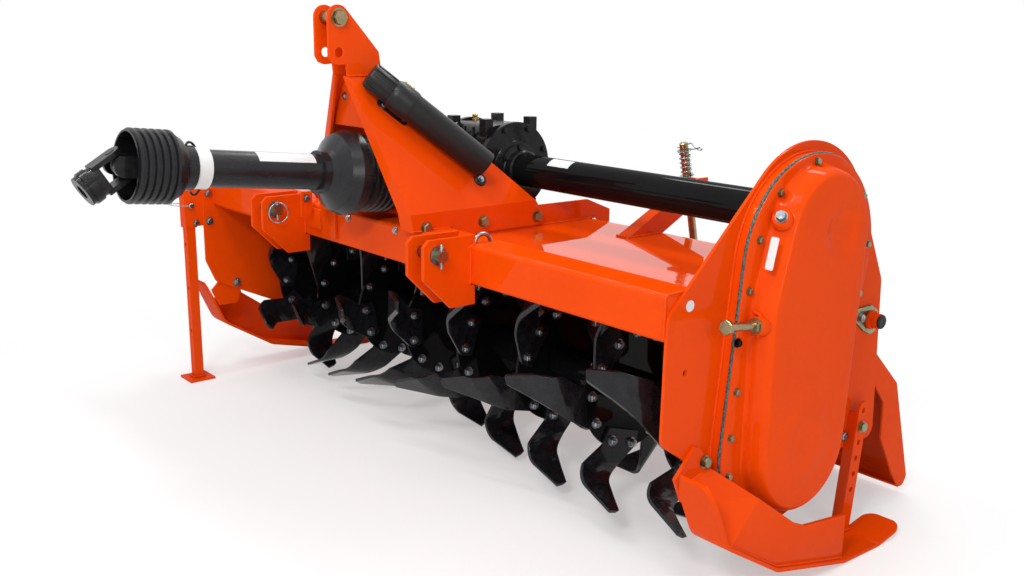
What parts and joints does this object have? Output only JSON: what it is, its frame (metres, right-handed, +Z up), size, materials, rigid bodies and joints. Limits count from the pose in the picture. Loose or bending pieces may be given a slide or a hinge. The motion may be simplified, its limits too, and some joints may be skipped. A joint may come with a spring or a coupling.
{
  "type": "rotavator",
  "caption": "Tractor-mounted rotary tiller with side gear drive, bladed rotor, hinged tailgate, skids, parking stand, three-point hitch and guarded PTO driveline",
  "frame": {"origin": "bottom centre of the whole machine's box, on the floor it stands on", "axes": "+X across the machine towards the gear-case side, +Y rearwards away from the tractor, +Z up"},
  "size_m": [2.37, 1.8435, 1.301],
  "materials": {
    "orange_paint": "glossy orange enamel over steel",
    "black_paint": "glossy black enamel over steel",
    "tine_steel": "glossy black paint on forged steel",
    "driveline_steel": "semi-gloss black paint on steel",
    "zinc_yellow": "yellow zinc plating",
    "zinc_bright": "bright zinc plating",
    "gasket": "dark green-grey gasket",
    "guard_plastic": "matt black plastic",
    "white_plastic": "white plastic band"
  },
  "bodies": {
    "frame": {"front_tube": "orange_paint", "deck": "orange_paint", "end_plate_right": "orange_paint", "end_plate_left": "orange_paint", "hitch_clevis_right": "orange_paint", "hitch_pin_right": "zinc_yellow", "hitch_clevis_left": "orange_paint", "hitch_pin_left": "zinc_yellow", "hitch_head_right": "orange_paint", "hitch_head_left": "orange_paint", "top_hitch_bolt": "zinc_yellow", "mast_plate_right": "orange_paint", "mast_plate_left": "orange_paint", "mast_cross_plate": "orange_paint", "beam_right": "orange_paint", "beam_left": "orange_paint", "gearbox": "black_paint", "gearbox_saddle": "orange_paint", "gearbox_cover_right": "black_paint", "gearbox_cover_left": "black_paint", "cross_tube": "black_paint", "gear_case": "orange_paint", "gear_case_gasket": "gasket", "gear_case_cover": "orange_paint", "chain_adjuster_bolt": "zinc_yellow", "rotor_bearings": "black_paint", "rod_brace_right": "orange_paint", "rod_brace_left": "orange_paint", "skid_runner_right": "orange_paint", "skid_side_plate_right": "orange_paint", "skid_strap_right": "orange_paint", "skid_runner_left": "orange_paint", "skid_side_plate_left": "orange_paint", "skid_strap_left": "orange_paint", "stand_bracket": "orange_paint", "guard_bell_rear": "guard_plastic", "guard_bell_front": "guard_plastic", "guard_tube": "guard_plastic", "guard_ring": "white_plastic", "input_guard": "guard_plastic", "manual_canister": "guard_plastic", "canister_cap": "guard_plastic", "canister_clips": "orange_paint"},
    "rotor": {"rotor_shaft": "black_paint", "tines_right_hand": "tine_steel", "tines_left_hand": "tine_steel"},
    "tailgate": {"tailgate_sheet": "orange_paint", "tailgate_pivot_tube": "orange_paint", "rod_lugs": "orange_paint"},
    "spring_rod_right": {"spring_rod_right": "zinc_bright"},
    "spring_rod_left": {"spring_rod_left": "zinc_bright"},
    "stand_leg": {"stand_leg": "orange_paint"},
    "driveline": {"driveline_shaft": "driveline_steel"},
    "universal_cross": {"universal_cross": "driveline_steel"},
    "tractor_yoke": {"tractor_yoke": "driveline_steel"}
  },
  "joints": [
    {"name": "rotor_spin", "type": "hinge", "parent": "frame", "child": "rotor", "pos_m": [0, 0.25155, 0.335], "axis": [1, 0, 0], "continuous": true},
    {"name": "tailgate_hinge", "type": "hinge", "parent": "frame", "child": "tailgate", "pos_m": [0, 0.62155, 0.556], "axis": [1, 0, 0], "range_deg": [0, 40]},
    {"name": "rod_pivot_right", "type": "hinge", "parent": "tailgate", "child": "spring_rod_right", "pos_m": [0.44, 0.72655, 0.47], "axis": [1, 0, 0], "range_deg": [-32, 2]},
    {"name": "rod_pivot_left", "type": "hinge", "parent": "tailgate", "child": "spring_rod_left", "pos_m": [-0.516, 0.72655, 0.47], "axis": [1, 0, 0], "range_deg": [-32, 2]},
    {"name": "stand_slide", "type": "slide", "parent": "frame", "child": "stand_leg", "axis": [0, 0, 1], "range_m": [0, 0.296]},
    {"name": "driveline_spin", "type": "hinge", "parent": "frame", "child": "driveline", "pos_m": [-0.038, -0.81347, 0.92448], "axis": [0, -0.9946, 0.1034], "continuous": true},
    {"name": "yoke_swing", "type": "hinge", "parent": "driveline", "child": "universal_cross", "pos_m": [-0.038, -0.81347, 0.92448], "axis": [-1, 0, 0], "range_deg": [0, 76]},
    {"name": "yoke_turn", "type": "hinge", "parent": "universal_cross", "child": "tractor_yoke", "pos_m": [-0.038, -0.81347, 0.92448], "axis": [0, -0.5308, 0.8475], "range_deg": [-22, 22]}
  ],
  "couplings": [
    {"joint": "rod_pivot_right", "follows": "tailgate_hinge", "ratio": -0.745},
    {"joint": "rod_pivot_left", "follows": "tailgate_hinge", "ratio": -0.745},
    {"joint": "driveline_spin", "follows": "rotor_spin", "ratio": 2.5}
  ]
}
